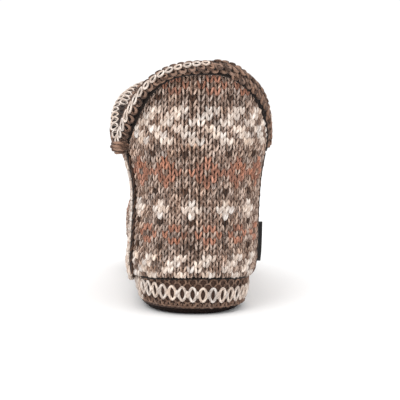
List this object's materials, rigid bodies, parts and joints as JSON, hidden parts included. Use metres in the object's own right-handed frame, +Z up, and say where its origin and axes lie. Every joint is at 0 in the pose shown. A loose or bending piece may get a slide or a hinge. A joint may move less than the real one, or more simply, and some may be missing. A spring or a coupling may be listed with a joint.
{
  "type": "knitted ankle slipper",
  "caption": "Right knitted ankle slipper with a domed collar at heel and instep, a folded collar band, side seam cords, a knitted side band and a flat soft sole.",
  "frame": {"origin": "on the floor, under the middle of the slipper's bounding box", "axes": "+X to the wearer's outer side of a right foot, +Y to the toe, +Z up"},
  "size_m": [0.1, 0.2494, 0.1462],
  "materials": {
    "outsole": "dark brown, fine raised texture",
    "footbed": "soft fleece over foam",
    "side_band": "brown knit with a pale slip-stitch row",
    "upper": "patterned knit in twisted brown, cream, white and peach yarns",
    "cuff": "brown and white slip-stitch knit",
    "seam_cord": "dark brown looped yarn",
    "side_tab": "black woven tape, bare"
  },
  "bodies": {
    "root": {"outsole": "outsole", "footbed": "footbed", "side_band": "side_band", "upper": "upper", "cuff_back": "cuff", "cuff_front": "cuff", "seam_cord_outer": "seam_cord", "seam_cord_inner": "seam_cord", "side_tab": "side_tab"}
  },
  "joints": []
}
